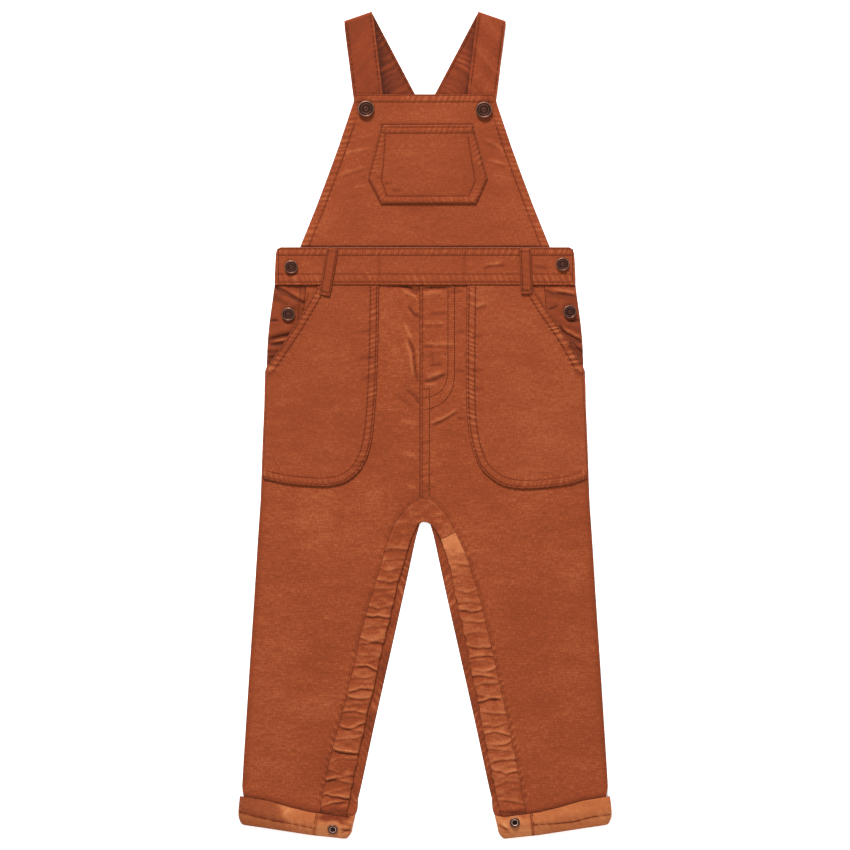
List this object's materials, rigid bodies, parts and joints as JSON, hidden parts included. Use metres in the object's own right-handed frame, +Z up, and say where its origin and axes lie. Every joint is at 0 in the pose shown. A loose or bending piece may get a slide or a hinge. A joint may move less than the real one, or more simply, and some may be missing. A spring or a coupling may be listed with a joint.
{
  "type": "bib dungarees",
  "caption": "Small child's bib dungarees in rust cotton, laid flat: crossed back straps, bib pocket, curved hip pockets, gathered inseam bands and turned-up cuffs.",
  "frame": {"origin": "middle of the garment's outline on the surface that it lies on", "axes": "+Y towards the shoulder straps, +Z up from the surface towards the garment's front, +X towards the viewer's right"},
  "size_m": [0.3212, 0.7118, 0.0108],
  "materials": {
    "rust_cloth": "slubbed cotton twill, tone-on-tone stitching",
    "rust_leg_cloth": "slubbed cotton twill, softly creased",
    "rust_strap_cloth": "slubbed cotton twill, edge stitched",
    "turned_up_cloth": "the lighter inner face of the same twill",
    "antique_bronze": "antique dark finish with worn bright edges"
  },
  "bodies": {
    "root": {"back_left": "rust_leg_cloth", "back_right": "rust_leg_cloth", "belt_loop_left": "rust_cloth", "belt_loop_right": "rust_cloth", "bib": "rust_cloth", "bib_button_left": "antique_bronze", "bib_button_right": "antique_bronze", "bib_pocket": "rust_cloth", "cuff_left": "turned_up_cloth", "cuff_right": "turned_up_cloth", "front_left": "rust_leg_cloth", "front_right": "rust_leg_cloth", "hip_button_left": "antique_bronze", "hip_button_right": "antique_bronze", "inseam_band_back_left": "rust_leg_cloth", "inseam_band_back_right": "rust_leg_cloth", "inseam_band_front_left": "rust_leg_cloth", "inseam_band_front_right": "rust_leg_cloth", "pocket_left": "rust_cloth", "pocket_right": "rust_cloth", "popper_ring_left": "antique_bronze", "popper_ring_right": "antique_bronze", "side_placket_left": "rust_cloth", "side_placket_right": "rust_cloth", "strap_left": "rust_strap_cloth", "strap_right": "rust_strap_cloth", "waist_button_left": "antique_bronze", "waist_button_right": "antique_bronze", "waistband_back": "rust_cloth", "waistband_front": "rust_cloth"}
  },
  "joints": []
}
